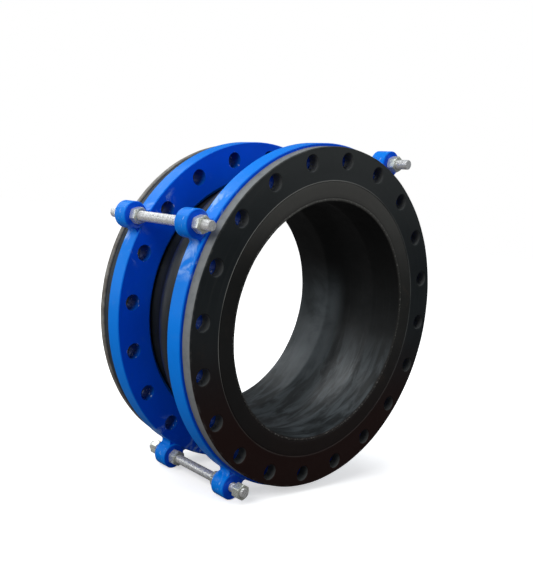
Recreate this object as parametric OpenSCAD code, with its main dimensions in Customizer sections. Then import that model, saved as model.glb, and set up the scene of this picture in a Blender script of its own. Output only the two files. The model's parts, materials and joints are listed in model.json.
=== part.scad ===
// Large-bore single-arch rubber expansion joint with loose backing flanges
// and three control rods.  The pipe axis is Y.  The origin is the centre of
// the rear sealing face, the front sealing face looks towards -Y, and +Z is
// up.  All sizes are in millimetres.

/* [Flange drilling] */
// Outside diameter of the two steel backing flanges
flange_od = 715; // [710:1:720]
// Bolt circle diameter of the pipe flange bolts
bolt_circle = 650; // [645:1:655]
// Diameter of each pipe flange bolt hole
bolt_hole_d = 33; // [26:0.5:36]
// Number of pipe flange bolt holes
bolt_count = 20; // [20:20:20]

/* [Lengths along the pipe] */
// Thickness of the front rubber flange
front_rubber_t = 24; // [22:1:30]
// Thickness of each steel backing flange
ring_t = 38; // [36:1:44]
// Clear distance between the two steel backing flanges
ring_gap = 162; // [150:1:175]
// Thickness of the rear rubber flange, with its outer lip
rear_rubber_t = 38; // [34:1:42]

/* [Rubber body] */
// Bore of the rubber body
bore_d = 492; // [484:1:496]
// Outside diameter of the rubber flanges
rubber_od = 704; // [696:1:706]
// Diameter of the seam round the turned-out collar of the body
seam_d = 568; // [564:1:572]
// Thickness of the smooth inner tube
tube_t = 8; // [6:0.5:9]
// Thickness of the cord carcass
carcass_t = 8; // [7:0.5:8]
// Thickness of the outer cover
cover_t = 10; // [7:0.5:10]
// Height of the arch above the neck, on the outside
arch_h = 36; // [24:1:42]
// Depth of the shallow barrel that the filled arch leaves in the bore
bore_arch_h = 12; // [4:1:20]
// Width of the arch at its foot
arch_w = 136; // [110:1:146]
// Section diameter of the steel bead rings inside the collars
bead_d = 9; // [7:0.5:9]

/* [Backing flange lugs] */
// Inside diameter of the steel backing flanges
ring_id = 548; // [546:1:552]
// Radius from the pipe axis to each control rod
rod_radius = 382; // [380:1:388]
// Outside diameter of the lug bosses
boss_d = 54; // [50:1:60]
// Length of the lug bosses
boss_len = 36; // [34:1:40]
// Radius of the fillets between a boss and the flange rim
lug_fillet = 8; // [6:1:22]
// Diameter of the hole through each boss
lug_hole_d = 22; // [21.5:0.5:24]

/* [Control rods] */
// Outside diameter of the threaded rods
rod_d = 20; // [20:1:20]
// Cut length of the rods
rod_len = 310; // [308:1:330]
// How far the front end of the upper left rod stands in front of the front face
upper_left_reach = 10; // [8:1:14]
// How far the front end of the upper right rod stands in front of the front face
upper_right_reach = 16; // [8:1:18]
// How far the front end of the lower left rod stands in front of the front face
lower_left_reach = 8; // [7:1:12]
// Size across the flats of the hex nuts
nut_af = 30; // [30:1:32]
// Height of the hex nuts
nut_h = 18; // [16:0.5:18]
// Gap between the lower left bosses and the outer nuts that stop the travel
stop_gap = 14.2; // [10:0.2:14.2]

/* [Hidden] */
$fn = 96;

// Depths are counted from the front sealing face towards the rear
face_len = front_rubber_t + 2 * ring_t + ring_gap + rear_rubber_t;
front_ring_a = front_rubber_t;
front_ring_b = front_rubber_t + ring_t;
rear_ring_a = front_ring_b + ring_gap;
rear_ring_b = rear_ring_a + ring_t;
mid = (front_ring_b + rear_ring_a) / 2;
boss_a = front_ring_b + 2 - boss_len;
boss_b = front_ring_b + 2;
rear_boss_b = 2 * mid - boss_a;
rear_boss_a = 2 * mid - boss_b;
bore_r = bore_d / 2;
rubber_r = rubber_od / 2;
flange_r = flange_od / 2;
seam_r = seam_d / 2;
gap = 0.1;
// Control rods sit midway between bolt holes, a quarter turn apart
upper_right_a = 63;
upper_left_a = 153;
lower_left_a = 243;
rod_angles = [upper_right_a, upper_left_a, lower_left_a];
rod_r = rod_d / 2;
nut_hole_r = rod_r + 0.05;

function smooth(t) = abs(t) >= 1 ? 0 : (1 + cos(180 * t)) / 2;
function rise(d) = arch_h * smooth((d - mid) / (arch_w / 2));
arch_steps = 22;
function arch_d(i) = mid - arch_w / 2 + arch_w * i / arch_steps;
// Points of a line that follows the arch at a neck radius r, front to rear
function arch_line(r) = [for (i = [0 : arch_steps]) [r + rise(arch_d(i)), arch_d(i)]];
// The bore under the filled arch: a shallow barrel with a ridge at each foot
function bore_rise(d) =
    abs(d - mid) >= arch_w / 2 ? 0 : bore_arch_h * cos(180 * (d - mid) / arch_w);
function bore_line(r) = [for (i = [0 : arch_steps]) [r + bore_rise(arch_d(i)), arch_d(i)]];
function flip(v) = [for (i = [len(v) - 1 : -1 : 0]) v[i]];

// Sets a shape that was drawn about Z, front face at 0, on the pipe axis
module on_pipe() {
    translate([0, -face_len, 0]) rotate([-90, 0, 0]) children();
}

// Angle counted anticlockwise from +X as seen from the front
module polar(angle, r) {
    rotate([0, 0, -angle]) translate([r, 0, 0]) children();
}

module at_depth(d) {
    translate([0, 0, d]) children();
}

// Straight round hole from depth a to depth b
module drill(a, b, d) {
    at_depth(a - 1) cylinder(h = b - a + 2, d = d, $fn = 64);
}

module bolt_holes(a, b) {
    for (i = [0 : bolt_count - 1])
        polar(i * 360 / bolt_count, bolt_circle / 2) drill(a, b, bolt_hole_d);
}

// Disc of the lug between rim and boss, with a fillet on each side
module lug_web(t) {
    rf = lug_fillet;
    br = boss_d / 2;
    p = flange_r + rf;
    q = br + rf;
    x = (p * p - q * q + rod_radius * rod_radius) / (2 * rod_radius);
    y = sqrt(p * p - x * x);
    linear_extrude(height = t)
        difference() {
            polygon([[flange_r - 14, 0], [x * (flange_r - 2) / p, y * (flange_r - 2) / p], [x, y],
                     [rod_radius, 0], [x, -y], [x * (flange_r - 2) / p, -y * (flange_r - 2) / p]]);
            translate([x, y]) circle(r = rf, $fn = 64);
            translate([x, -y]) circle(r = rf, $fn = 64);
        }
}

module boss(a, b) {
    c = 1.5;
    rotate_extrude()
        polygon([[0, a], [boss_d / 2 - c, a], [boss_d / 2, a + c],
                 [boss_d / 2, b - c], [boss_d / 2 - c, b], [0, b]]);
}

// Front backing flange in depth coordinates; the rear one is its mirror image
module backing_flange_shape() {
    a = front_ring_a;
    b = front_ring_b;
    c = 1.6;
    difference() {
        union() {
            rotate_extrude($fn = 180)
                polygon([[ring_id / 2, a + 4], [ring_id / 2 + 4, a], [flange_r - c, a], [flange_r, a + c],
                         [flange_r, b - c], [flange_r - c, b], [ring_id / 2 + 8, b], [ring_id / 2, b - 8]]);
            for (ang = rod_angles) {
                rotate([0, 0, -ang]) at_depth(a + 6) lug_web(ring_t - 9);
                polar(ang, rod_radius) boss(boss_a, boss_b);
            }
        }
        bolt_holes(a, b);
        for (ang = rod_angles) polar(ang, rod_radius) drill(boss_a, boss_b, lug_hole_d);
    }
}

module front_backing_flange() {
    color("dodgerblue") on_pipe() backing_flange_shape();
}

module rear_backing_flange() {
    color("dodgerblue") on_pipe()
        translate([0, 0, 2 * mid]) mirror([0, 0, 1]) backing_flange_shape();
}

module front_rubber_flange() {
    a = 0;
    b = front_rubber_t;
    color("#3a3d3e") on_pipe()
        difference() {
            rotate_extrude($fn = 180)
                polygon([[seam_r + 0.3, a + 1.2], [seam_r + 1.5, a], [rubber_r - 2.5, a], [rubber_r, a + 2.5],
                         [rubber_r, b], [seam_r + 0.3, b]]);
            bolt_holes(a, b);
        }
}

// The rear flange has a plain rim next to the steel and a raised outer lip
module rear_rubber_flange() {
    a = rear_ring_b;
    b = face_len;
    lip = 12;
    color("#4a4844") on_pipe()
        difference() {
            rotate_extrude($fn = 180)
                polygon([[seam_r + 0.3, a], [rubber_r - 2, a], [rubber_r - 2, b - lip - 2], [rubber_r, b - lip],
                         [rubber_r, b - 2.5], [rubber_r - 2.5, b], [seam_r + 1.5, b], [seam_r + 0.3, b - 1.2]]);
            bolt_holes(a, b);
        }
}

// Depth layers of the turned-out collars: tube, carcass, cover
tube_collar = 7;
carcass_collar = 12;

module inner_tube() {
    r0 = bore_r;
    r1 = bore_r + tube_t;
    L = face_len;
    color("#262626") on_pipe()
        rotate_extrude($fn = 180)
            polygon(concat(
                [[seam_r - 1.2, 0], [r0 + 4, 0], [r0 + 1.2, 1.2], [r0, 4]],
                bore_line(r0),
                [[r0, L - 4], [r0 + 1.2, L - 1.2], [r0 + 4, L], [seam_r - 1.2, L], [seam_r, L - 1.2],
                 [seam_r, L - tube_collar], [r1, L - tube_collar]],
                flip(arch_line(r1)),
                [[r1, tube_collar], [seam_r, tube_collar], [seam_r, 1.2]]));
}

module cord_carcass() {
    r0 = bore_r + tube_t + gap;
    r1 = bore_r + tube_t + carcass_t;
    L = face_len;
    a = tube_collar + gap;
    b = tube_collar + carcass_collar;
    color("#8a7a58") on_pipe()
        difference() {
            rotate_extrude($fn = 180)
                polygon(concat(
                    [[r0, a]], arch_line(r0),
                    [[r0, L - a], [seam_r, L - a], [seam_r, L - b], [r1, L - b]],
                    flip(arch_line(r1)),
                    [[r1, b], [seam_r, b], [seam_r, a]]));
            bead_core(bead_d / 2 + 0.3, tube_collar + carcass_collar / 2);
            bead_core(bead_d / 2 + 0.3, L - tube_collar - carcass_collar / 2);
        }
}

module outer_cover() {
    r0 = bore_r + tube_t + carcass_t + gap;
    r1 = bore_r + tube_t + carcass_t + cover_t;
    L = face_len;
    a = tube_collar + carcass_collar + gap;
    b = front_rubber_t - 0.2;
    c = rear_ring_b + 0.2;
    color("#303234") on_pipe()
        rotate_extrude($fn = 180)
            polygon(concat(
                [[r0, a]], arch_line(r0),
                [[r0, L - a], [seam_r, L - a], [seam_r, c], [r1, c]],
                flip(arch_line(r1)),
                [[r1, b], [seam_r, b], [seam_r, a]]));
}

module bead_core(r, d) {
    rotate_extrude($fn = 180) translate([seam_r - 11, d]) circle(r = r, $fn = 32);
}

module front_bead_ring() {
    color("#9aa0a6") on_pipe() bead_core(bead_d / 2, tube_collar + carcass_collar / 2);
}

module rear_bead_ring() {
    color("#9aa0a6") on_pipe() bead_core(bead_d / 2, face_len - tube_collar - carcass_collar / 2);
}

// Threaded rod at its outside diameter, with a lead-in at each end
module control_rod(angle, reach) {
    c = 1.5;
    color("silver") on_pipe() polar(angle, rod_radius) at_depth(-reach)
        rotate_extrude($fn = 48)
            polygon([[0, 0], [rod_r - c, 0], [rod_r, c], [rod_r, rod_len - c], [rod_r - c, rod_len], [0, rod_len]]);
}

// Hex nut with both ends turned to a lead-in, its first face at depth d
module hex_nut(angle, d, turn = 0) {
    ac = nut_af / cos(30);
    e = 1.3;
    polar(angle, rod_radius) at_depth(d) rotate([0, 0, turn])
        difference() {
            intersection() {
                cylinder(h = nut_h, d = ac, $fn = 6);
                rotate_extrude($fn = 64)
                    polygon([[0, 0], [nut_af / 2 - 0.3, 0], [ac / 2 + 0.2, e], [ac / 2 + 0.2, nut_h - e],
                             [nut_af / 2 - 0.3, nut_h], [0, nut_h]]);
            }
            translate([0, 0, -1]) cylinder(h = nut_h + 2, r = nut_hole_r, $fn = 48);
        }
}

module nut_at(angle, d, turn = 0) {
    color("#c9ccce") on_pipe() hex_nut(angle, d, turn);
}

module rear_inner_nut_upper_left() {
    nut_at(upper_left_a, rear_boss_a - nut_h, 12);
}

module rear_inner_nut_upper_right() {
    nut_at(upper_right_a, rear_boss_a - nut_h, 40);
}

module rear_inner_nut_lower_left() {
    nut_at(lower_left_a, rear_boss_a - nut_h, 25);
}

module rear_outer_nut_upper_left() {
    nut_at(upper_left_a, rear_boss_b, 20);
}

module rear_outer_nut_upper_right() {
    nut_at(upper_right_a, rear_boss_b, 50);
}

module rear_stop_nut_lower_left() {
    nut_at(lower_left_a, rear_boss_b + stop_gap, 33);
}

module front_outer_nut_upper_left() {
    nut_at(upper_left_a, boss_a - nut_h, 8);
}

module front_outer_nut_upper_right() {
    nut_at(upper_right_a, boss_a - nut_h, 35);
}

module front_inner_nut_lower_left() {
    nut_at(lower_left_a, boss_b, 18);
}

module front_stop_nut_lower_left() {
    nut_at(lower_left_a, boss_a - stop_gap - nut_h, 30);
}

rear_backing_flange();
rear_rubber_flange();
rear_bead_ring();
front_backing_flange();
front_rubber_flange();
front_bead_ring();
inner_tube();
cord_carcass();
outer_cover();
control_rod(upper_left_a, upper_left_reach);  // control_rod_upper_left
control_rod(upper_right_a, upper_right_reach);  // control_rod_upper_right
control_rod(lower_left_a, lower_left_reach);  // control_rod_lower_left
rear_inner_nut_upper_left();
rear_inner_nut_upper_right();
rear_inner_nut_lower_left();
rear_outer_nut_upper_left();
rear_outer_nut_upper_right();
rear_stop_nut_lower_left();
front_outer_nut_upper_left();
front_outer_nut_upper_right();
front_inner_nut_lower_left();
front_stop_nut_lower_left();
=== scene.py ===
import json
import math

import bmesh
import bpy
import numpy as np
from mathutils import Matrix, Vector


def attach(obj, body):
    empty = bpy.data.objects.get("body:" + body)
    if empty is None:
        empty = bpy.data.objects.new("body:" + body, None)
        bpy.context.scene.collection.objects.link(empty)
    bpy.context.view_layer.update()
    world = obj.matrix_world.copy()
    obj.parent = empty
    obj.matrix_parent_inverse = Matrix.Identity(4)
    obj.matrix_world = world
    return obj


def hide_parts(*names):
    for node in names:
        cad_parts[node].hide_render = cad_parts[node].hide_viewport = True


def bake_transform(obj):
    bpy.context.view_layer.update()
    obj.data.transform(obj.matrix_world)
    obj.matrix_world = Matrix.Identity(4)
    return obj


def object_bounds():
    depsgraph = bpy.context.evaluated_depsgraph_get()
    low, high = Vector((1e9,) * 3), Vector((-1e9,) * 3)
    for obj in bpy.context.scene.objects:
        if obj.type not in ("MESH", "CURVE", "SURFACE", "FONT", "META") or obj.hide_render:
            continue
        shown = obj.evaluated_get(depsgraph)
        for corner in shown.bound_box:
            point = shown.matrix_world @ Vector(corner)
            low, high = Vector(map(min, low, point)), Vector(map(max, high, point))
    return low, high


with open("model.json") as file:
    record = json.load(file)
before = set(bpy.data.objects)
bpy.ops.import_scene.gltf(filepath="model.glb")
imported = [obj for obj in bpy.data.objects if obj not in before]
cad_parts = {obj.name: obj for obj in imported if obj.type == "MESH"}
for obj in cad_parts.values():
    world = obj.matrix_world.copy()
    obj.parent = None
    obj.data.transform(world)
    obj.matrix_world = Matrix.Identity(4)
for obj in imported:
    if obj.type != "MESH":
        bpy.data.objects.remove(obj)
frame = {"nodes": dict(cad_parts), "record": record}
cad_lo, cad_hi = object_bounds()

# ------------------------------------------------------------------ sizes
# Depths d are counted in metres from the front sealing face towards the rear.
MM = 0.001
FACE = 0.300
FRONT_T, RING_T, GAP, REAR_T = 0.024, 0.038, 0.162, 0.038
RING1 = FRONT_T + RING_T
RING2 = RING1 + GAP
RING2B = RING2 + RING_T
MID = (RING1 + RING2) / 2
BORE_R, SEAM_R, RUBBER_R, FLANGE_R = 0.246, 0.284, 0.352, 0.3575
PCR, HOLE_R = 0.325, 0.0165
ROD_PCR, ROD_R, ROD_L = 0.382, 0.010, 0.310
ARCH_H, ARCH_W = 0.036, 0.136
TUBE_T, CARC_T, COVER_T = 0.008, 0.008, 0.010
BOSS_A, BOSS_B = RING1 + 0.002 - 0.036, RING1 + 0.002
RBOSS_A, RBOSS_B = 2 * MID - BOSS_B, 2 * MID - BOSS_A
ROD_ANG = {"upper_right": 63, "upper_left": 153, "lower_left": 243}
REACH = {"upper_right": 0.016, "upper_left": 0.010, "lower_left": 0.008}


def hash01(i):
    """A repeatable number from 0 to 1 for a whole number."""
    v = math.sin(i * 127.1 + 311.7) * 43758.5453
    return v - math.floor(v)


# ------------------------------------------------------------------ mesh helpers
def make_object(name, verts, faces, smooth_deg=35.0, weld=True):
    me = bpy.data.meshes.new(name)
    me.from_pydata([tuple(v) for v in verts], [], [tuple(f) for f in faces])
    bm = bmesh.new()
    bm.from_mesh(me)
    if weld:
        bmesh.ops.remove_doubles(bm, verts=bm.verts, dist=2e-6)
    bmesh.ops.dissolve_degenerate(bm, edges=bm.edges, dist=1e-7)
    bmesh.ops.recalc_face_normals(bm, faces=bm.faces)
    bm.to_mesh(me)
    bm.free()
    me.shade_smooth()
    me.set_sharp_from_angle(angle=math.radians(smooth_deg))
    ob = bpy.data.objects.new(name, me)
    bpy.context.scene.collection.objects.link(ob)
    return ob


def at(r, phi, d):
    """A point at radius r and angle phi (anticlockwise seen from the front), at depth d."""
    return (r * math.cos(phi), d - FACE, r * math.sin(phi))


def arc(cr, cd, rad, a0, a1, n=6):
    """Points (r, d) of an arc about (cr, cd); angle 0 points outward, 90 degrees towards the rear."""
    return [
        (
            cr + rad * math.cos(math.radians(a0 + (a1 - a0) * i / n)),
            cd + rad * math.sin(math.radians(a0 + (a1 - a0) * i / n)),
        )
        for i in range(n + 1)
    ]


def lathe(name, profile, segs=288, wobble=None, smooth_deg=35.0):
    """A closed ring of revolution about the pipe axis from closed profile points (r, d)."""
    n = len(profile)
    verts, faces = [], []
    for s in range(segs):
        phi = 2 * math.pi * s / segs
        for k, (r, d) in enumerate(profile):
            if wobble:
                r, d = wobble(r, d, phi)
            verts.append(at(r, phi, d))
    for s in range(segs):
        t = (s + 1) % segs
        for k in range(n):
            m = (k + 1) % n
            faces.append((s * n + k, s * n + m, t * n + m, t * n + k))
    return make_object(name, verts, faces, smooth_deg, weld=False)


def rise(d):
    t = (d - MID) / (ARCH_W / 2)
    return 0.0 if abs(t) >= 1 else ARCH_H * (1 + math.cos(math.pi * t)) / 2


BORE_ARCH = 0.012


def bore_rise(d):
    t = (d - MID) / (ARCH_W / 2)
    soft = 0.06
    if abs(t) >= 1 + soft:
        return 0.0
    flat = BORE_ARCH * math.cos(math.pi / 2 * min(1.0, abs(t)))
    # round the ridge over a few millimetres on each side
    if abs(t) > 1 - soft:
        u = (1 + soft - abs(t)) / (2 * soft)
        return BORE_ARCH * math.pi / 2 * soft * u * u
    return flat


def bore_line(r, n=72):
    a, b = MID - ARCH_W * 0.56, MID + ARCH_W * 0.56
    return [(r + bore_rise(a + (b - a) * i / n), a + (b - a) * i / n) for i in range(n + 1)]


def arch_line(r, n=56):
    return [
        (r + rise(MID - ARCH_W / 2 + ARCH_W * i / n), MID - ARCH_W / 2 + ARCH_W * i / n)
        for i in range(n + 1)
    ]


# ------------------------------------------------------------------ node helpers
def new_mat(name):
    m = bpy.data.materials.new(name)
    m.use_nodes = True
    nt = m.node_tree
    nt.nodes.clear()
    out = nt.nodes.new("ShaderNodeOutputMaterial")
    bsdf = nt.nodes.new("ShaderNodeBsdfPrincipled")
    nt.links.new(bsdf.outputs["BSDF"], out.inputs["Surface"])
    return m, nt, bsdf


class N:
    """Short forms for building a node tree."""

    def __init__(self, nt):
        self.nt = nt

    def link(self, a, b):
        self.nt.links.new(a, b)

    def coord(self):
        return self.nt.nodes.new("ShaderNodeTexCoord").outputs["Object"]

    def xyz(self, vec):
        n = self.nt.nodes.new("ShaderNodeSeparateXYZ")
        self.link(vec, n.inputs[0])
        return n.outputs

    def combine(self, x, y, z):
        n = self.nt.nodes.new("ShaderNodeCombineXYZ")
        for s, v in zip(n.inputs, (x, y, z)):
            self.put(s, v)
        return n.outputs[0]

    def put(self, sock, v):
        if isinstance(v, (int, float)):
            sock.default_value = v
        elif isinstance(v, (tuple, list)):
            sock.default_value = v
        else:
            self.link(v, sock)

    def math(self, op, a, b=None, c=None, clamp=False):
        n = self.nt.nodes.new("ShaderNodeMath")
        n.operation = op
        n.use_clamp = clamp
        self.put(n.inputs[0], a)
        if b is not None:
            self.put(n.inputs[1], b)
        if c is not None:
            self.put(n.inputs[2], c)
        return n.outputs[0]

    def noise(self, vec, scale, detail=4.0, rough=0.55, distort=0.0):
        n = self.nt.nodes.new("ShaderNodeTexNoise")
        n.inputs["Scale"].default_value = scale
        n.inputs["Detail"].default_value = detail
        n.inputs["Roughness"].default_value = rough
        n.inputs["Distortion"].default_value = distort
        self.link(vec, n.inputs["Vector"])
        return n.outputs["Fac"]

    def voronoi(self, vec, scale, feature="F1"):
        n = self.nt.nodes.new("ShaderNodeTexVoronoi")
        n.feature = feature
        n.inputs["Scale"].default_value = scale
        self.link(vec, n.inputs["Vector"])
        return n.outputs["Distance"]

    def ramp(self, fac, stops, mode="LINEAR"):
        n = self.nt.nodes.new("ShaderNodeValToRGB")
        n.color_ramp.interpolation = mode
        e = n.color_ramp.elements
        while len(e) > 1:
            e.remove(e[-1])
        e[0].position, e[0].color = stops[0][0], col(stops[0][1])
        for p, c in stops[1:]:
            x = e.new(p)
            x.color = col(c)
        self.link(fac, n.inputs["Fac"])
        return n.outputs["Color"]

    def map(self, v, a, b, c=0.0, d=1.0, smooth=True):
        n = self.nt.nodes.new("ShaderNodeMapRange")
        n.interpolation_type = "SMOOTHSTEP" if smooth else "LINEAR"
        n.clamp = True
        self.put(n.inputs["Value"], v)
        for k, x in zip(("From Min", "From Max", "To Min", "To Max"), (a, b, c, d)):
            n.inputs[k].default_value = x
        return n.outputs["Result"]

    def mix(self, fac, a, b):
        n = self.nt.nodes.new("ShaderNodeMix")
        n.data_type = "RGBA"
        self.put(n.inputs["Factor"], fac)
        ia = [s for s in n.inputs if s.name == "A" and s.type == "RGBA"][0]
        ib = [s for s in n.inputs if s.name == "B" and s.type == "RGBA"][0]
        self.put(ia, col(a) if isinstance(a, (tuple, list, float)) else a)
        self.put(ib, col(b) if isinstance(b, (tuple, list, float)) else b)
        return [s for s in n.outputs if s.type == "RGBA"][0]

    def bump(self, height, strength=0.3, distance=0.001, normal=None):
        n = self.nt.nodes.new("ShaderNodeBump")
        n.inputs["Strength"].default_value = strength
        n.inputs["Distance"].default_value = distance
        self.link(height, n.inputs["Height"])
        if normal is not None:
            self.link(normal, n.inputs["Normal"])
        return n.outputs["Normal"]

    def polar(self):
        """Radius from the pipe axis, angle, depth from the front face, and the object coordinates."""
        v = self.coord()
        x, y, z = self.xyz(v)[:3]
        r = self.math("SQRT", self.math("ADD", self.math("MULTIPLY", x, x), self.math("MULTIPLY", z, z)))
        a = self.math("ARCTAN2", z, x)
        d = self.math("ADD", y, FACE)
        return r, a, d, v

    def hole_dist(self, r, a):
        """Distance in metres from the nearest bolt hole's centre, and the offsets along and across the radius."""
        step = 2 * math.pi / 20
        k = self.math("ROUND", self.math("DIVIDE", a, step))
        da = self.math("SUBTRACT", a, self.math("MULTIPLY", k, step))
        lx = self.math("SUBTRACT", self.math("MULTIPLY", r, self.math("COSINE", da)), PCR)
        ly = self.math("MULTIPLY", r, self.math("SINE", da))
        d = self.math("SQRT", self.math("ADD", self.math("MULTIPLY", lx, lx), self.math("MULTIPLY", ly, ly)))
        return d, lx, ly


def col(c):
    if isinstance(c, float):
        return (c, c, c, 1.0)
    return tuple(c) if len(c) == 4 else (c[0], c[1], c[2], 1.0)


# ------------------------------------------------------------------ materials
def mat_blue():
    m, nt, b = new_mat("blue_enamel")
    n = N(nt)
    r, a, d, v = n.polar()
    big = n.noise(v, 7.0, 3.0)
    # painted shade: faces that look along the pipe axis get a deeper, darker blue (flat) than the rim faces (rim), as
    # shade falls on them
    rim = n.ramp(big, [(0.3, (0.0006, 0.185, 0.74)), (0.7, (0.0008, 0.215, 0.84))])
    flat = n.ramp(big, [(0.3, (0.0008, 0.078, 0.74)), (0.7, (0.0010, 0.098, 0.86))])
    geo = nt.nodes.new("ShaderNodeTexCoord").outputs["Normal"]
    ny = n.math("ABSOLUTE", n.xyz(geo)[1])
    base = n.mix(n.map(ny, 0.55, 0.95), rim, flat)
    # painted highlight: thin, pale glare patches near the lug roots; pale rubs along the rim
    near = None
    x, y, z = n.xyz(v)[:3]
    for ang in ROD_ANG.values():
        for off in (-8.5, 8.5):
            px, pz = 0.357 * math.cos(math.radians(ang + off)), 0.357 * math.sin(math.radians(ang + off))
            dx = n.math("SUBTRACT", x, px)
            dz = n.math("SUBTRACT", z, pz)
            q = n.math("SQRT", n.math("ADD", n.math("MULTIPLY", dx, dx), n.math("MULTIPLY", dz, dz)))
            w = n.map(q, 0.012, 0.055, 1.0, 0.0)
            near = w if near is None else n.math("MAXIMUM", near, w)
    patch = n.noise(v, 26.0, 5.0, 0.62, 0.6)
    glare_and_rubs = n.math("MULTIPLY", near, n.map(patch, 0.50, 0.66, 0.0, 0.9))
    general = n.map(n.noise(v, 11.0, 6.0, 0.66, 0.3), 0.68, 0.82, 0.0, 0.07)
    glare_and_rubs = n.math("MAXIMUM", glare_and_rubs, general)
    # painted highlight: the pale glare near the lugs, with the rubs, is mixed into the blue here
    base = n.mix(glare_and_rubs, base, (0.30, 0.50, 0.92))
    # short scratches round the bosses
    scr = None
    for ang in ROD_ANG.values():
        px, pz = ROD_PCR * math.cos(math.radians(ang)), ROD_PCR * math.sin(math.radians(ang))
        dx = n.math("SUBTRACT", x, px)
        dz = n.math("SUBTRACT", z, pz)
        q = n.math("SQRT", n.math("ADD", n.math("MULTIPLY", dx, dx), n.math("MULTIPLY", dz, dz)))
        side = n.map(q, 0.0262, 0.0268)
        side = n.math("MULTIPLY", side, n.map(q, 0.0275, 0.0300, 1.0, 0.0))
        turn = n.math("ARCTAN2", dz, dx)
        lines = n.noise(n.combine(n.math("MULTIPLY", d, 420.0), n.math("MULTIPLY", turn, 2.2), 0.0), 1.0, 3.0, 0.6, 0.2)
        one = n.math("MULTIPLY", side, n.map(lines, 0.62, 0.70, 0.0, 0.8))
        scr = one if scr is None else n.math("MAXIMUM", scr, one)
    base = n.mix(scr, base, (0.42, 0.60, 0.88))
    # fine dust and fingermarks on the flat faces
    streak = n.noise(n.combine(n.math("MULTIPLY", r, 60.0), n.math("MULTIPLY", a, 14.0), n.math("MULTIPLY", d, 30.0)), 1.0, 4.0, 0.6)
    haze = n.map(streak, 0.58, 0.78, 0.0, 0.12)
    base = n.mix(haze, base, (0.10, 0.24, 0.62))
    # painted shade: the hole walls are a darker blue; chips to bare metal at the hole edges
    hd, lx, ly = n.hole_dist(r, a)
    base = n.mix(n.map(hd, 0.0166, 0.0170, 0.8, 0.0), base, (0.0006, 0.042, 0.36))
    edge = n.math("MULTIPLY", n.map(hd, 0.0155, 0.0165, 0.0, 1.0), n.map(hd, 0.0172, 0.0186, 1.0, 0.0))
    chip = n.math("MULTIPLY", edge, n.map(n.noise(v, 95.0, 3.0, 0.6), 0.63, 0.69, 0.0, 0.75))
    wall = n.math("MULTIPLY", n.map(hd, 0.0166, 0.0169, 1.0, 0.0), n.map(n.noise(v, 130.0, 4.0, 0.7), 0.68, 0.78, 0.0, 0.10))
    chip = n.math("MAXIMUM", chip, wall)
    base = n.mix(chip, base, (0.50, 0.60, 0.78))
    n.link(base, b.inputs["Base Color"])
    rough = n.map(n.noise(v, 34.0, 5.0, 0.6), 0.3, 0.75, 0.38, 0.52)
    rough = n.math("ADD", rough, n.math("MULTIPLY", glare_and_rubs, 0.25), clamp=True)
    n.link(rough, b.inputs["Roughness"])
    b.inputs["Specular IOR Level"].default_value = 0.05
    b.inputs["Coat Weight"].default_value = 0.06
    b.inputs["Coat Roughness"].default_value = 0.20
    peel = n.noise(v, 320.0, 2.0, 0.5)
    cast = n.noise(v, 46.0, 3.0, 0.5)
    h = n.math("ADD", n.math("MULTIPLY", peel, 0.16), n.math("MULTIPLY", cast, 0.8))
    n.link(n.bump(h, 0.28, 0.0009), b.inputs["Normal"])
    return m


def rubber_common(n, b, v, dark, light, scale=9.0):
    cloud = n.noise(v, scale, 5.0, 0.6, 0.25)
    return n.ramp(cloud, [(0.30, dark), (0.72, light)])


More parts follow.
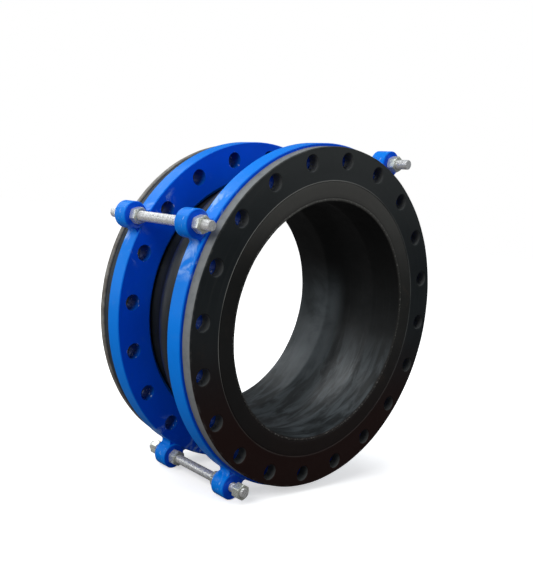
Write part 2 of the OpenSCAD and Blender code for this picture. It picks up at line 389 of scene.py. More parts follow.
def mat_flange_rubber(name, rear=False):
    m, nt, b = new_mat(name)
    n = N(nt)
    r, a, d, v = n.polar()
    base = rubber_common(n, b, v, (0.0105, 0.0140, 0.0158), (0.0190, 0.0232, 0.0252))
    # rubbed arcs that run round the face
    arcs = n.noise(n.combine(n.math("MULTIPLY", r, 150.0), n.math("MULTIPLY", a, 1.1), 0.0), 1.0, 6.0, 0.62, 0.15)
    base = n.mix(n.map(arcs, 0.52, 0.80, 0.0, 0.50), base, (0.038, 0.040, 0.038))
    # brown handling marks
    mark = n.noise(v, 17.0, 6.0, 0.68, 0.5)
    base = n.mix(n.map(mark, 0.60, 0.78, 0.0, 0.42), base, (0.046, 0.031, 0.021))
    x, y, z = n.xyz(v)[:3]
    # painted reflection: lighter, slightly blue grey towards the top
    base = n.mix(n.map(z, 0.12, 0.36, 0.0, 0.75), base, (0.0540, 0.0585, 0.0580))
    # painted reflection: a brown-red tint towards the bottom
    low = n.map(z, 0.02, -0.24, 0.0, 0.9)
    base = n.mix(low, base, (0.0165, 0.0042, 0.0026))
    # the rim is greyed by dust and bloom
    dust = n.noise(v, 60.0, 5.0, 0.65)
    if rear:
        ribs = n.math("SINE", n.math("MULTIPLY", a, 1150.0))
        inner = n.mix(n.map(ribs, -0.2, 1.0, 0.0, 0.35), (0.020, 0.025, 0.031), (0.075, 0.082, 0.090))
        lip = n.mix(n.map(dust, 0.35, 0.7), (0.135, 0.122, 0.105), (0.24, 0.235, 0.215))
        grey = n.mix(n.map(d, FACE - 0.0135, FACE - 0.0120), inner, lip)
        rim = n.map(r, RUBBER_R - 0.0045, RUBBER_R - 0.0026)
        base = n.mix(rim, base, grey)
    else:
        grey = n.mix(n.map(dust, 0.3, 0.72), (0.165, 0.175, 0.180), (0.250, 0.260, 0.262))
        side = n.map(d, 0.0012, 0.0032)
        rim = n.math("MULTIPLY", n.map(r, RUBBER_R - 0.0040, RUBBER_R - 0.0018), side)
        base = n.mix(rim, base, grey)
        worn = n.math("MULTIPLY", n.map(r, RUBBER_R - 0.006, RUBBER_R - 0.0025), n.map(dust, 0.45, 0.7, 0.0, 0.35))
        base = n.mix(worn, base, (0.11, 0.11, 0.105))
    # hole walls are lighter, cut rubber
    hd, lx, ly = n.hole_dist(r, a)
    cut = n.math("MULTIPLY", n.map(hd, 0.0172, 0.0184, 1.0, 0.0), n.map(d, 0.0006, 0.0022))
    base = n.mix(cut, base, (0.075, 0.080, 0.080))
    # painted highlight: a pale thin line along the collar's edge, strongest at the upper left
    painted_seam_highlight = n.math("MULTIPLY", n.map(r, SEAM_R + 0.0002, SEAM_R + 0.0009), n.map(r, SEAM_R + 0.0020, SEAM_R + 0.0038, 1.0, 0.0))
    painted_seam_highlight = n.math("MULTIPLY", painted_seam_highlight, n.map(n.noise(v, 6.0, 3.0), 0.35, 0.6, 0.35, 1.0))
    painted_seam_highlight = n.math("MULTIPLY", painted_seam_highlight, n.map(n.math("ADD", x, n.math("MULTIPLY", z, -0.35)), -0.16, 0.06, 1.0, 0.30))
    painted_seam_highlight = n.math("MULTIPLY", painted_seam_highlight, n.map(z, -0.22, -0.06, 0.35, 1.0))
    base = n.mix(n.math("MULTIPLY", painted_seam_highlight, 0.9), base, (0.27, 0.27, 0.255))
    specks = n.map(n.voronoi(v, 210.0), 0.04, 0.075, 1.0, 0.0)
    specks = n.math("MULTIPLY", specks, n.map(n.noise(v, 24.0, 2.0), 0.62, 0.70, 0.0, 0.7))
    base = n.mix(specks, base, (0.20, 0.19, 0.17))
    n.link(base, b.inputs["Base Color"])
    rough = n.map(n.noise(v, 28.0, 5.0, 0.62), 0.3, 0.75, 0.46, 0.68)
    n.link(rough, b.inputs["Roughness"])
    b.inputs["Specular IOR Level"].default_value = 0.14
    fine = n.noise(v, 900.0, 2.0, 0.6)
    h = n.math("ADD", n.math("MULTIPLY", fine, 0.18), n.math("MULTIPLY", arcs, 0.6))
    n.link(n.bump(h, 0.35, 0.0007), b.inputs["Normal"])
    return m


def mat_tube():
    m, nt, b = new_mat("tube_rubber_smooth")
    n = N(nt)
    r, a, d, v = n.polar()
    inside = n.ramp(n.noise(v, 6.0, 4.0, 0.55, 0.3), [(0.3, (0.0035, 0.0042, 0.0045)), (0.72, (0.0075, 0.0090, 0.0096))])
    rings = n.noise(n.combine(n.math("MULTIPLY", d, 130.0), n.math("MULTIPLY", a, 0.9), n.math("MULTIPLY", r, 8.0)), 1.0, 5.0, 0.6, 0.2)
    inside = n.mix(n.map(rings, 0.52, 0.78, 0.0, 0.35), inside, (0.026, 0.029, 0.031))
    x, y, z = n.xyz(v)[:3]
    # painted shade: the inside of the bore is darker towards the top
    inside = n.mix(n.map(z, -0.02, 0.13, 0.0, 0.85), inside, (0.0010, 0.0010, 0.0009))
    # painted reflections: a broad pale band on the right of the bore and pale streaks low down
    cloud = n.noise(n.combine(n.math("MULTIPLY", d, 9.0), n.math("MULTIPLY", a, 2.4), 0.0), 1.0, 4.0, 0.55, 0.5)
    reflection_streaks = n.noise(n.combine(n.math("MULTIPLY", d, 48.0), n.math("MULTIPLY", a, 2.6), 0.0), 1.0, 5.0, 0.6, 0.6)
    painted_reflection_band = n.math("MULTIPLY", n.map(d, 0.160, 0.200), n.map(z, 0.12, 0.00))
    painted_reflection_band = n.math("MULTIPLY", painted_reflection_band, n.math("MULTIPLY", n.map(x, 0.02, 0.17), n.map(z, -0.22, -0.11, 0.15, 1.0)))
    painted_reflection_band = n.math("MULTIPLY", painted_reflection_band, n.map(cloud, 0.30, 0.62, 0.35, 1.0))
    painted_reflection_band = n.math("MULTIPLY", painted_reflection_band, n.map(d, 0.235, 0.285, 1.0, 0.45))
    low = n.math("MULTIPLY", n.map(z, -0.02, -0.13), n.map(x, -0.14, 0.06))
    low = n.math("MULTIPLY", low, n.map(reflection_streaks, 0.40, 0.64, 0.10, 1.0))
    # the painted reflections are mixed into the bore's colour here
    inside = n.mix(n.math("MULTIPLY", low, 0.9), inside, (0.066, 0.078, 0.085))
    inside = n.mix(n.math("MULTIPLY", painted_reflection_band, 0.95), inside, (0.130, 0.148, 0.158))
    face = n.ramp(n.noise(v, 10.0, 5.0, 0.62, 0.3), [(0.3, (0.0125, 0.0135, 0.0130)), (0.72, (0.0240, 0.0240, 0.0215))])
    mark = n.noise(v, 20.0, 6.0, 0.70, 0.7)
    face = n.mix(n.map(mark, 0.55, 0.74, 0.0, 0.5), face, (0.062, 0.043, 0.030))
    # painted reflection: the end faces are lighter towards the top
    face = n.mix(n.map(z, 0.05, 0.27, 0.0, 0.7), face, (0.098, 0.096, 0.089))
    # painted reflection: a brown-red tint towards the bottom
    face = n.mix(n.map(z, 0.02, -0.24, 0.0, 0.9), face, (0.0075, 0.0026, 0.0018))
    # darker towards the left, except near the top
    face = n.mix(n.math("MULTIPLY", n.map(x, -0.05, -0.25, 0.0, 0.75), n.map(z, 0.22, 0.06)), face, (0.0045, 0.0048, 0.0048))
    front = n.map(d, 0.0012, 0.0045, 1.0, 0.0)
    back = n.map(d, FACE - 0.0045, FACE - 0.0012)
    base = n.mix(n.math("MAXIMUM", front, back), inside, face)
    # rubbed edge and flash specks round the mouth of the bore
    lip = n.math("MULTIPLY", n.map(r, BORE_R + 0.0005, BORE_R + 0.0020), n.map(r, BORE_R + 0.0044, BORE_R + 0.0062, 1.0, 0.0))
    broken = n.map(n.noise(n.combine(n.math("MULTIPLY", a, 42.0), n.math("MULTIPLY", r, 160.0), 0.0), 1.0, 5.0, 0.72), 0.50, 0.66, 0.06, 0.85)
    base = n.mix(n.math("MULTIPLY", n.math("MULTIPLY", lip, broken), n.math("MAXIMUM", front, back)), base, (0.20, 0.20, 0.185))
    n.link(base, b.inputs["Base Color"])
    smear = n.noise(v, 12.0, 5.0, 0.6, 0.4)
    rough = n.mix(front, n.map(smear, 0.3, 0.75, 0.34, 0.52), n.map(smear, 0.3, 0.75, 0.48, 0.66))
    rough = n.math("ADD", rough, n.map(z, -0.10, 0.02, 0.0, 0.30), clamp=True)
    n.link(rough, b.inputs["Roughness"])
    b.inputs["Specular IOR Level"].default_value = 0.26
    fine = n.noise(v, 700.0, 2.0, 0.6)
    wave = n.noise(v, 22.0, 3.0, 0.5, 0.3)
    h = n.math("ADD", n.math("MULTIPLY", fine, 0.05), n.math("ADD", n.math("MULTIPLY", wave, 0.9), n.math("MULTIPLY", rings, 0.25)))
    long_wave = n.noise(n.combine(n.math("MULTIPLY", d, 13.0), n.math("MULTIPLY", a, 2.6), n.math("MULTIPLY", r, 4.0)), 1.0, 2.0, 0.5, 0.2)
    slow = n.bump(long_wave, 0.35, 0.006)
    n.link(n.bump(h, 0.30, 0.0012, slow), b.inputs["Normal"])
    return m


def mat_cover():
    m, nt, b = new_mat("cover_rubber_moulded")
    n = N(nt)
    r, a, d, v = n.polar()
    base = rubber_common(n, b, v, (0.0065, 0.0080, 0.0095), (0.0140, 0.0165, 0.0190), 8.0)
    wrap = n.math("SINE", n.math("MULTIPLY", n.math("ADD", d, n.math("MULTIPLY", a, 0.0009)), 1500.0))
    # painted highlight: the arch's crest is lighter, with a slight blue reflection
    crest_highlight = n.map(r, 0.302, 0.3078)
    base = n.mix(n.math("MULTIPLY", crest_highlight, 0.30), base, (0.045, 0.052, 0.062))
    dust = n.map(n.noise(v, 42.0, 6.0, 0.7), 0.60, 0.80, 0.0, 0.30)
    base = n.mix(dust, base, (0.085, 0.088, 0.090))
    n.link(base, b.inputs["Base Color"])
    n.link(n.map(n.noise(v, 30.0, 4.0), 0.3, 0.75, 0.38, 0.58), b.inputs["Roughness"])
    b.inputs["Specular IOR Level"].default_value = 0.30
    h = n.math("ADD", n.math("MULTIPLY", wrap, 0.25), n.math("MULTIPLY", n.noise(v, 260.0, 3.0), 0.4))
    n.link(n.bump(h, 0.25, 0.0006), b.inputs["Normal"])
    return m


def mat_cord():
    m, nt, b = new_mat("cord_plies")
    n = N(nt)
    r, a, d, v = n.polar()
    one = n.math("SINE", n.math("ADD", n.math("MULTIPLY", a, 620.0), n.math("MULTIPLY", d, 1900.0)))
    two = n.math("SINE", n.math("SUBTRACT", n.math("MULTIPLY", a, 620.0), n.math("MULTIPLY", d, 1900.0)))
    weave = n.math("MAXIMUM", one, two)
    base = n.mix(n.map(weave, -0.2, 1.0), (0.055, 0.047, 0.034), (0.34, 0.29, 0.20))
    base = n.mix(n.map(n.noise(v, 30.0), 0.4, 0.7, 0.0, 0.4), base, (0.12, 0.10, 0.075))
    n.link(base, b.inputs["Base Color"])
    b.inputs["Roughness"].default_value = 0.82
    n.link(n.bump(weave, 0.6, 0.0005), b.inputs["Normal"])
    return m


def mat_zinc(name, a_col, b_col, r0, r1, grime=0.4, thread=False):
    m, nt, b = new_mat(name)
    n = N(nt)
    v = n.coord()
    f = n.noise(v, 90.0, 5.0, 0.65, 0.2)
    base = n.ramp(f, [(0.3, a_col), (0.72, b_col)])
    dirt = n.map(n.noise(v, 34.0, 6.0, 0.72, 0.4), 0.56, 0.76, 0.0, grime)
    base = n.mix(dirt, base, (0.17, 0.16, 0.145))
    n.link(base, b.inputs["Base Color"])
    b.inputs["Metallic"].default_value = 0.6
    rough = n.math("ADD", n.map(n.noise(v, 160.0, 4.0, 0.6), 0.3, 0.75, r0, r1), n.math("MULTIPLY", dirt, 0.25), clamp=True)
    n.link(rough, b.inputs["Roughness"])
    n.link(n.bump(n.noise(v, 1400.0, 2.0, 0.6), 0.20, 0.0003), b.inputs["Normal"])
    return m


def mat_wire():
    m, nt, b = new_mat("bead_wire")
    n = N(nt)
    r, a, d, v = n.polar()
    strands = n.math("SINE", n.math("MULTIPLY", n.math("ADD", r, d), 5200.0))
    base = n.mix(n.map(strands, -0.4, 1.0), (0.10, 0.10, 0.105), (0.46, 0.47, 0.49))
    n.link(base, b.inputs["Base Color"])
    b.inputs["Metallic"].default_value = 1.0
    n.link(n.map(n.noise(v, 120.0), 0.3, 0.7, 0.28, 0.5), b.inputs["Roughness"])
    n.link(n.bump(strands, 0.5, 0.0004), b.inputs["Normal"])
    return m


BLUE = mat_blue()
RUB_F = mat_flange_rubber("flange_rubber_front")
RUB_R = mat_flange_rubber("flange_rubber_rear", rear=True)
TUBE = mat_tube()
COVER = mat_cover()
CORD = mat_cord()
ZROD = mat_zinc("zinc_rod_bright", (0.78, 0.79, 0.79), (0.90, 0.90, 0.895), 0.24, 0.36, 0.08)
ZNUT = mat_zinc("zinc_nut_yellowed", (0.62, 0.65, 0.58), (0.80, 0.82, 0.75), 0.22, 0.36, 0.16)
WIRE = mat_wire()


def paint(ob, mat):
    ob.data.materials.clear()
    ob.data.materials.append(mat)
    return ob


# ------------------------------------------------------------------ rubber body
def lip_wobble(r, d, phi):
    """A little unevenness, as moulded rubber has; it never leaves the CAD box."""
    k = math.exp(-((min(d, FACE - d)) / 0.004) ** 2)
    w = 0.00025 * math.sin(7 * phi + 1.3) + 0.00018 * math.sin(17 * phi + 0.4) + 0.00010 * math.sin(41 * phi)
    flat = 0.00035 * (1 + math.sin(3 * phi + 0.7) * 0.6 + math.sin(11 * phi + 2.0) * 0.4) * k
    inner = 1.0 if r < BORE_R + 0.012 else 0.25
    if d < FACE / 2:
        d = d + flat * 0.8
    else:
        d = d - flat * 0.8
    return r + w * k * inner, d


def tube_profile():
    r0, r1 = BORE_R, BORE_R + TUBE_T
    tc = 0.007
    front = [(SEAM_R, 0.0012)] + arc(SEAM_R - 0.0012, 0.0012, 0.0012, 0, -90, 4)[1:]
    front += [(SEAM_R - 0.012, 0.0), (SEAM_R - 0.022, 0.0), (r0 + 0.0080, 0.0)]
    # shallow groove, then the rolled lip of the bore
    front += [(r0 + 0.0070, 0.0003), (r0 + 0.0062, 0.0009), (r0 + 0.0056, 0.0009), (r0 + 0.0050, 0.0003)]
    front += arc(r0 + 0.0036, 0.0036, 0.0036, -90, -180, 7)
    neck = [(r0, 0.010), (r0, 0.024), (r0, 0.040), (r0, 0.054)]
    line = bore_line(r0)
    back = [(r, FACE - d) for r, d in reversed(front)]
    neck2 = [(r0, FACE - 0.054), (r0, FACE - 0.040), (r0, FACE - 0.024), (r0, FACE - 0.010)]
    outer = [(SEAM_R, FACE - tc), (r1, FACE - tc)] + list(reversed(arch_line(r1, 28))) + [(r1, tc), (SEAM_R, tc)]
    return front + neck + line + neck2 + back + outer


def layer_profile(r0, r1, a, b, c):
    """A wall between radii r0 and r1 that follows the arch, with a collar from depth a to b at the front and c to FACE - a at the rear."""
    return (
        [(r0, a)]
        + arch_line(r0, 28)
        + [(r0, FACE - a), (SEAM_R, FACE - a), (SEAM_R, c), (r1, c)]
        + list(reversed(arch_line(r1, 56)))
        + [(r1, b), (SEAM_R, b)]
        + [(SEAM_R, a)]
    )


tube = paint(lathe("inner_tube_moulded", tube_profile(), 320, lip_wobble), TUBE)
carcass = paint(
    lathe(
        "cord_carcass_plies",
        layer_profile(BORE_R + TUBE_T + 0.0001, BORE_R + TUBE_T + CARC_T, 0.0071, 0.019, FACE - 0.019),
        288,
    ),
    CORD,
)
cover = paint(
    lathe(
        "outer_cover_moulded",
        layer_profile(
            BORE_R + TUBE_T + CARC_T + 0.0001,
            BORE_R + TUBE_T + CARC_T + COVER_T,
            0.0191,
            FRONT_T - 0.0002,
            RING2B + 0.0002,
        ),
        320,
    ),
    COVER,
)
for ob, node, sl in (
    (tube, "inner_tube", "tube_rubber"),
    (carcass, "cord_carcass", "cord_fabric"),
    (cover, "outer_cover", "cover_rubber"),
):
    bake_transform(ob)
    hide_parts(node)


# ------------------------------------------------------------------ rubber flanges
def flange_face(verts, faces, d_of, r_in, r_out, sgn, fillet=0.0016, n_side=16, rings=7):
    """One flat face of a flange with twenty round-edged holes. d_of(r, phi) is its depth; sgn is +1 if the flange's body lies behind it."""
    step = 2 * math.pi / 20
    half = step / 2
    ra, rb = PCR - 0.0265, r_out
    base_ring = []
    for k in range(20):
        c = k * step
        border = []
        for i in range(n_side):
            border.append((rb, -half + step * i / n_side))
        for i in range(n_side):
            border.append((rb + (ra - rb) * i / n_side, half))
        for i in range(n_side):
            border.append((ra, half - step * i / n_side))
        for i in range(n_side):
            border.append((ra + (rb - ra) * i / n_side, -half))
        m = len(border)
        loops = []
        for j in range(rings + 1):
            t = (j / rings) ** 1.6
            loop = []
            for r, da in border:
                bx, by = r * math.cos(da), r * math.sin(da)
                ang = math.atan2(by, bx - PCR)
                hx = PCR + (HOLE_R + fillet) * math.cos(ang)
                hy = (HOLE_R + fillet) * math.sin(ang)
                x, y = hx + (bx - hx) * t, hy + (by - hy) * t
                rr, aa = math.hypot(x, y), math.atan2(y, x) + c
                loop.append(len(verts))
                verts.append(at(rr, aa, d_of(rr, aa)))
            loops.append(loop)
        # rounded edge of the hole, then its wall down to the middle of the flange
        q = 5
        prev = loops[0]
        mids = []
        for j in range(1, q + 1):
            th = math.radians(90 * j / q)
            loop = []
            for r, da in border:
                bx, by = r * math.cos(da), r * math.sin(da)
                ang = math.atan2(by, bx - PCR)
                rad = HOLE_R + fillet - fillet * math.sin(th)
                x, y = PCR + rad * math.cos(ang), rad * math.sin(ang)
                rr, aa = math.hypot(x, y), math.atan2(y, x) + c
                loop.append(len(verts))
                verts.append(at(rr, aa, d_of(rr, aa) + sgn * (fillet - fillet * math.cos(th))))
            for i in range(m):
                i2 = (i + 1) % m
                faces.append((prev[i], prev[i2], loop[i2], loop[i]))
            prev = loop
        base_ring.append(prev)
        for j in range(rings):
            A, B = loops[j], loops[j + 1]
            for i in range(m):
                i2 = (i + 1) % m
                faces.append((A[i], A[i2], B[i2], B[i]))
    # plain ring inside the holes
    seg = 20 * n_side
    radii = [ra, ra - 0.003, ra - 0.006, ra - 0.009, r_in + 0.0008, r_in]
    prev = None
    for r in radii:
        loop = []
        for i in range(seg):
            aa = -half + 2 * math.pi * i / seg
            loop.append(len(verts))
            verts.append(at(r, aa, d_of(r, aa)))
        if prev:
            for i in range(seg):
                i2 = (i + 1) % seg
                faces.append((prev[i], prev[i2], loop[i2], loop[i]))
        prev = loop
    return base_ring


def rubber_flange(name, d0, d1, rim, face_wave):
    """Full-face rubber flange from depth d0 to d1. rim is the outer edge's profile from the d0 face to the d1 face."""
    verts, faces = [], []
    half = math.pi / 20
    seg = 320
    r_face0, r_face1 = rim[0][0], rim[-1][0]

    def f0(r, a):
        return d0 + face_wave(r, a)[0]

    def f1(r, a):
        return d1 - face_wave(r, a)[1]

    # both faces share the border radius rb so that their rings meet the rims
    w0 = flange_face(verts, faces, f0, SEAM_R + 0.0015, r_face0, +1)
    w1 = flange_face(verts, faces, f1, SEAM_R + 0.0015, r_face1, -1)
    for A, B in zip(w0, w1):
        m = len(A)
        for i in range(m):
            i2 = (i + 1) % m
            faces.append((A[i], A[i2], B[i2], B[i]))
    # outer rim
    prev = None
    for r, d in rim:
        loop = []
        for i in range(seg):
            a = -half + 2 * math.pi * i / seg
            dd = f0(r, a) if (r, d) == rim[0] else f1(r, a) if (r, d) == rim[-1] else d
            wr = face_wave(r, a)[2] if (r, d) not in (rim[0], rim[-1]) else 0.0
            loop.append(len(verts))
            verts.append(at(r + wr, a, dd))
        if prev:
            for i in range(seg):
                i2 = (i + 1) % seg
                faces.append((prev[i], prev[i2], loop[i2], loop[i]))
        prev = loop
    # inner edge with its small chamfers
    prev = None
    inner = [(SEAM_R + 0.0015, None, 0), (SEAM_R + 0.0003, d0 + 0.0012, 1), (SEAM_R + 0.0003, d1 - 0.0012, 1), (SEAM_R + 0.0015, None, 2)]
    for r, d, kind in inner:
        loop = []
        for i in range(seg):
            a = -half + 2 * math.pi * i / seg
            dd = d if kind == 1 else f0(r, a) if kind == 0 else f1(r, a)
            loop.append(len(verts))
            verts.append(at(r, a, dd))
        if prev:
            for i in range(seg):
                i2 = (i + 1) % seg
                faces.append((prev[i], prev[i2], loop[i2], loop[i]))
        prev = loop
    return make_object(name, verts, faces, 38.0)


def wave_front(r, a):
    """Unevenness of the front rubber flange: its face sinks a little between the holes and at the rim."""
    w = 0.5 + 0.25 * math.sin(3 * a + 0.5) + 0.15 * math.sin(8 * a + 1.1) + 0.10 * math.sin(19 * a + 2.2)
    edge = max(0.0, (r - 0.318) / 0.034)
    mid = math.exp(-(((r - 0.300) / 0.012) ** 2))
    face = 0.0009 * w * edge**2 + 0.00045 * mid * (0.6 + 0.4 * math.sin(5 * a))
    rim = -0.0004 * (0.5 + 0.5 * math.sin(9 * a + 0.3)) - 0.0003 * (0.5 + 0.5 * math.sin(23 * a))
    return face, 0.0, rim


def wave_rear(r, a):
    rim = -0.0003 * (0.5 + 0.5 * math.sin(7 * a + 1.0)) - 0.0002 * (0.5 + 0.5 * math.sin(31 * a))
    return 0.0, 0.0003 * (0.5 + 0.5 * math.sin(6 * a)), rim


RR = RUBBER_R
front_rim = [(RR - 0.0026, 0.0)] + arc(RR - 0.0026, 0.0026, 0.0026, -80, 0, 6) + [
    (RR, 0.008),
    (RR, 0.016),
    (RR, FRONT_T - 0.0012),
    (RR - 0.0012, FRONT_T),
]
front_flange = rubber_flange("front_rubber_flange_moulded", 0.0, FRONT_T, front_rim, wave_front)
paint(front_flange, RUB_F)

lip = FACE - 0.012
rear_rim = [
    (RR - 0.0030, RING2B),
    (RR - 0.0020, RING2B + 0.0010),
    (RR - 0.0020, RING2B + 0.008),
    (RR - 0.0020, RING2B + 0.016),
    (RR - 0.0020, lip - 0.0034),
    (RR - 0.0034, lip - 0.0026),
    (RR - 0.0034, lip - 0.0014),
    (RR - 0.0010, lip - 0.0004),
    (RR, lip + 0.0006),
    (RR, lip + 0.0050),
] + arc(RR - 0.0026, FACE - 0.0026, 0.0026, 0, 80, 6) + [(RR - 0.0026, FACE)]
rear_flange = rubber_flange("rear_rubber_flange_moulded", RING2B, FACE, rear_rim, wave_rear)
paint(rear_flange, RUB_R)
for ob, node, body in (
    (front_flange, "front_rubber_flange", "front_end"),
    (rear_flange, "rear_rubber_flange", "rear_end"),
):
    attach(ob, body)
    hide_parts(node)


# ------------------------------------------------------------------ threaded rods
def threaded_rod(name, angle_deg, reach):
    """Metric thread, 2.5 mm pitch, right handed about the direction out of the front."""
    pitch, seg = 0.0025, 28
    shape = [(0.0, 0.01000), (0.24, 0.01000), (0.50, 0.00915), (0.74, 0.00915)]
    turns = int(ROD_L / pitch) + 2
    th = math.radians(angle_deg)
    ax, az = ROD_PCR * math.cos(th), ROD_PCR * math.sin(th)
    y0 = -reach - FACE
    verts, faces = [], []
    rows = turns * 4 + 4

    def vertex(i, j):
        k, s = divmod(i, 4)
        z = (k - 1 + shape[s][0]) * pitch + pitch * j / seg
        r = shape[s][1]
        zc = min(max(z, 0.0), ROD_L)
        lead = min(zc, ROD_L - zc)
        r = min(r, 0.0090 + lead * 1.0)
        phi = -2 * math.pi * j / seg
        return (ax + r * math.cos(phi), y0 + zc, az + r * math.sin(phi))

    for i in range(rows):
        for j in range(seg):
            verts.append(vertex(i, j))
    for i in range(rows - 1):
        for j in range(seg):
            if j < seg - 1:
                q = (i * seg + j, i * seg + j + 1, (i + 1) * seg + j + 1, (i + 1) * seg + j)
            else:
                if i + 5 >= rows:
                    continue
                q = (i * seg + j, (i + 4) * seg, (i + 5) * seg, (i + 1) * seg + j)
            zs = [verts[p][1] for p in q]
            if max(zs) - min(zs) < 1e-9:
                continue
            faces.append(q)
    # flat ends
    for zc in (0.0, ROD_L):
        centre = len(verts)
        verts.append((ax, y0 + zc, az))
        ring = []
        for j in range(seg):
            phi = -2 * math.pi * j / seg
            ring.append(len(verts))
            verts.append((ax + 0.0090 * math.cos(phi), y0 + zc, az + 0.0090 * math.sin(phi)))
        for j in range(seg):
            faces.append((centre, ring[j], ring[(j + 1) % seg]))
    ob = make_object(name, verts, faces, 32.0)
    return paint(ob, ZROD)


for pos, ang in ROD_ANG.items():
    rod = threaded_rod(f"control_rod_{pos}_threaded", ang, REACH[pos])
    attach(rod, "rear_end")
    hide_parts(f"control_rod_{pos}")


# ------------------------------------------------------------------ hex nuts
def nut_mesh(verts, faces, angle_deg, d, turn_deg):
    """Hex nut, 30 mm across flats and 18 mm high, with both faces chamfered at 30 degrees and a countersunk bore."""
    af, h, bore = 0.030, 0.018, 0.01005
    seg = 120
    th = math.radians(angle_deg)
    ax, az = ROD_PCR * math.cos(th), ROD_PCR * math.sin(th)
    y0 = d - FACE
    start = math.radians(angle_deg - turn_deg)
    tan30 = math.tan(math.radians(30))
    rc = af / 2 * 0.965

    def outline(a):
        k = (a - start) % (math.pi / 3)
        flat = af / 2 / math.cos(k - math.pi / 6)
        corner = af / 2 / math.cos(math.pi / 6) - 0.00035
        return min(flat, corner)

    def cone(z):
        return rc + z / tan30

    levels = [0.0, 0.0003, 0.0007, 0.0012, 0.0018, 0.0025]
    zs = levels + [h / 2] + [h - z for z in reversed(levels)]
    loops = []
    # inner side of the near face: countersink and bore
    for r, z in ((bore, h / 2), (bore, 0.0010), (bore + 0.0009, 0.0)):
        loops.append([(r, z)] * seg)
    loops.append([(rc - 0.0004, 0.0)] * seg)
    for z in zs:
        row = []
        for j in range(seg):
            a = 2 * math.pi * j / seg
            row.append((min(outline(a), cone(min(z, h - z))), z))
        loops.append(row)
    loops.append([(rc - 0.0004, h)] * seg)
    for r, z in ((bore + 0.0009, h), (bore, h - 0.0010), (bore, h / 2)):
        loops.append([(r, z)] * seg)
    first = len(verts)
    for row in loops:
        for j, (r, z) in enumerate(row):
            a = 2 * math.pi * j / seg
            verts.append((ax + r * math.cos(a), y0 + z, az + r * math.sin(a)))
    for i in range(len(loops) - 1):
        for j in range(seg):
            k = (j + 1) % seg
            faces.append((first + i * seg + j, first + i * seg + k, first + (i + 1) * seg + k, first + (i + 1) * seg + j))


NUT_H, STOP = 0.018, 0.0142
NUTS = {
    "rear_inner_nut_upper_left": ("upper_left", RBOSS_A - NUT_H, 12),
    "rear_inner_nut_upper_right": ("upper_right", RBOSS_A - NUT_H, 40),
    "rear_inner_nut_lower_left": ("lower_left", RBOSS_A - NUT_H, 25),
    "rear_outer_nut_upper_left": ("upper_left", RBOSS_B, 20),
    "rear_outer_nut_upper_right": ("upper_right", RBOSS_B, 50),
    "rear_stop_nut_lower_left": ("lower_left", RBOSS_B + STOP, 33),
    "front_outer_nut_upper_left": ("upper_left", BOSS_A - NUT_H, 8),
    "front_outer_nut_upper_right": ("upper_right", BOSS_A - NUT_H, 35),
    "front_inner_nut_lower_left": ("lower_left", BOSS_B, 18),
    "front_stop_nut_lower_left": ("lower_left", BOSS_A - STOP - NUT_H, 30),
}
node_body = {n: b for b, ns in frame["record"]["behaviour"]["bodies"].items() for n in ns}
for node, (pos, d, turn) in NUTS.items():
    verts, faces = [], []
    nut_mesh(verts, faces, ROD_ANG[pos], d, turn)
    ob = paint(make_object(node + "_chamfered", verts, faces, 24.0), ZNUT)
    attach(ob, node_body[node])
    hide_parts(node)

# ------------------------------------------------------------------ carried-over nodes
for node, mat in (
    ("front_backing_flange", BLUE),
    ("rear_backing_flange", BLUE),
    ("front_bead_ring", WIRE),
    ("rear_bead_ring", WIRE),
):
    ob = frame["nodes"][node]
    ob.data.materials.clear()
    ob.data.materials.append(mat)

# ------------------------------------------------------------------ stage
low = min(cad_lo[2], cad_hi[2])


def floor_material():
    """Near-white for the camera, with soft shadows; dimmer for what the object reflects."""
    m, nt, b = new_mat("floor_pale")
    n = N(nt)
    v = n.coord()
    x, y, z = n.xyz(v)[:3]
    r = n.math("SQRT", n.math("ADD", n.math("MULTIPLY", x, x), n.math("MULTIPLY", y, y)))
    c = n.ramp(n.noise(v, 1.2, 3.0), [(0.3, (0.86, 0.86, 0.86)), (0.7, (0.90, 0.90, 0.90))])
    n.link(c, b.inputs["Base Color"])
    b.inputs["Roughness"].default_value = 0.8
    b.inputs["Specular IOR Level"].default_value = 0.1
    glow = nt.nodes.new("ShaderNodeEmission")
    glow.inputs["Color"].default_value = (1.0, 1.0, 1.0, 1.0)
    n.link(n.map(r, 0.35, 1.7, 0.55, 1.0), glow.inputs["Strength"])
    add = nt.nodes.new("ShaderNodeAddShader")
    n.link(b.outputs["BSDF"], add.inputs[0])
    n.link(glow.outputs[0], add.inputs[1])
    dim = nt.nodes.new("ShaderNodeBsdfDiffuse")
    dim.inputs["Color"].default_value = (0.20, 0.19, 0.185, 1.0)
    path = nt.nodes.new("ShaderNodeLightPath")
    pick = nt.nodes.new("ShaderNodeMixShader")
    n.link(path.outputs["Is Camera Ray"], pick.inputs[0])
    n.link(dim.outputs[0], pick.inputs[1])
    n.link(add.outputs[0], pick.inputs[2])
    out = [q for q in nt.nodes if q.type == "OUTPUT_MATERIAL"][0]
    n.link(pick.outputs[0], out.inputs["Surface"])
    return m


me = bpy.data.meshes.new("floor")
S = 30.0
me.from_pydata([(-S, -S, 0), (S, -S, 0), (S, S, 0), (-S, S, 0)], [], [(0, 1, 2, 3)])
floor = bpy.data.objects.new("floor", me)
floor.location = (0, 0, low - 0.0005)
bpy.context.scene.collection.objects.link(floor)
paint(floor, floor_material())

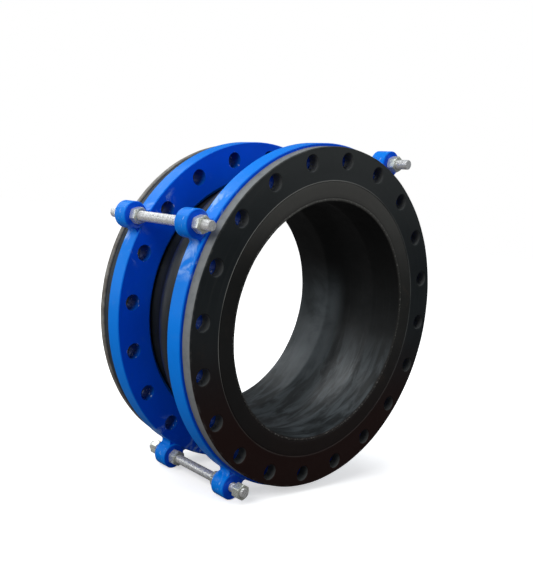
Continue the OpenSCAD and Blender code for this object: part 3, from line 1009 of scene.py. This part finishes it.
world = bpy.data.worlds.new("studio")
bpy.context.scene.world = world
world.use_nodes = True
wn = world.node_tree
wn.nodes.clear()
wo = wn.nodes.new("ShaderNodeOutputWorld")
bg_seen = wn.nodes.new("ShaderNodeBackground")
bg_seen.inputs["Color"].default_value = (1.0, 1.0, 1.0, 1.0)
bg_seen.inputs["Strength"].default_value = 1.0
bg_lit = wn.nodes.new("ShaderNodeBackground")
bg_lit.inputs["Color"].default_value = (0.93, 0.96, 1.0, 1.0)
bg_lit.inputs["Strength"].default_value = 0.20
lp = wn.nodes.new("ShaderNodeLightPath")
mx = wn.nodes.new("ShaderNodeMixShader")
wn.links.new(lp.outputs["Is Camera Ray"], mx.inputs[0])
wn.links.new(bg_lit.outputs[0], mx.inputs[1])
wn.links.new(bg_seen.outputs[0], mx.inputs[2])
wn.links.new(mx.outputs[0], wo.inputs["Surface"])


def area(name, loc, target, size, power, color=(1, 1, 1), size_y=None):
    ld = bpy.data.lights.new(name, "AREA")
    ld.energy = power
    ld.color = color
    ld.shape = "RECTANGLE"
    ld.size = size
    ld.size_y = size_y or size
    ob = bpy.data.objects.new(name, ld)
    bpy.context.scene.collection.objects.link(ob)
    ob.location = loc
    ob.rotation_mode = "QUATERNION"
    ob.rotation_quaternion = (Vector(target) - Vector(loc)).to_track_quat("-Z", "Y")
    return ob


area("key_left", (-2.7, -0.7, 1.5), (0, -0.15, 0.0), 1.6, 50.0, (1.0, 0.99, 0.98))
area("top_soft", (0.1, -0.3, 2.6), (0, -0.15, 0.0), 2.0, 26.0, (0.95, 0.98, 1.0))
area("front_soft", (0.7, -2.6, 1.6), (0.0, -0.15, 0.1), 1.6, 16.0, (0.93, 0.97, 1.0))
area("rear_window", (-2.2, 2.0, 0.15), (0.1, -0.15, -0.05), 2.6, 20.0, (0.94, 0.98, 1.0), 1.5)
area("rear_high", (-0.7, 2.7, 1.9), (0.05, -0.15, -0.1), 2.4, 42.0, (0.94, 0.98, 1.0), 1.8)

cam_data = bpy.data.cameras.new("camera")
cam = bpy.data.objects.new("camera", cam_data)
bpy.context.scene.collection.objects.link(cam)
cam_data.sensor_width = 36.0
cam_data.lens = 48.841
cam_data.shift_x = 0.1392
cam_data.shift_y = 0.0904
cam_data.clip_start = 0.02
cam_data.clip_end = 100.0
right = Vector((0.7777027852695237, -0.6181455731914698, 0.11434346561047781))
down = Vector((-0.012906008877846042, -0.1975542792949494, -0.9802069891951894))
fwd = Vector((0.6284996521231099, 0.7608339878554602, -0.16161630550500594))
rot = Matrix((right, -down, -fwd)).transposed()
cam.matrix_world = Matrix.Translation((-1.2038210, -1.3239214, 0.2008135)) @ rot.to_4x4()
bpy.context.scene.camera = cam

sc = bpy.context.scene
sc.view_settings.view_transform = "Standard"
sc.view_settings.look = "None"
sc.view_settings.exposure = 0.0
sc.view_settings.gamma = 1.0

bpy.context.view_layer.update()
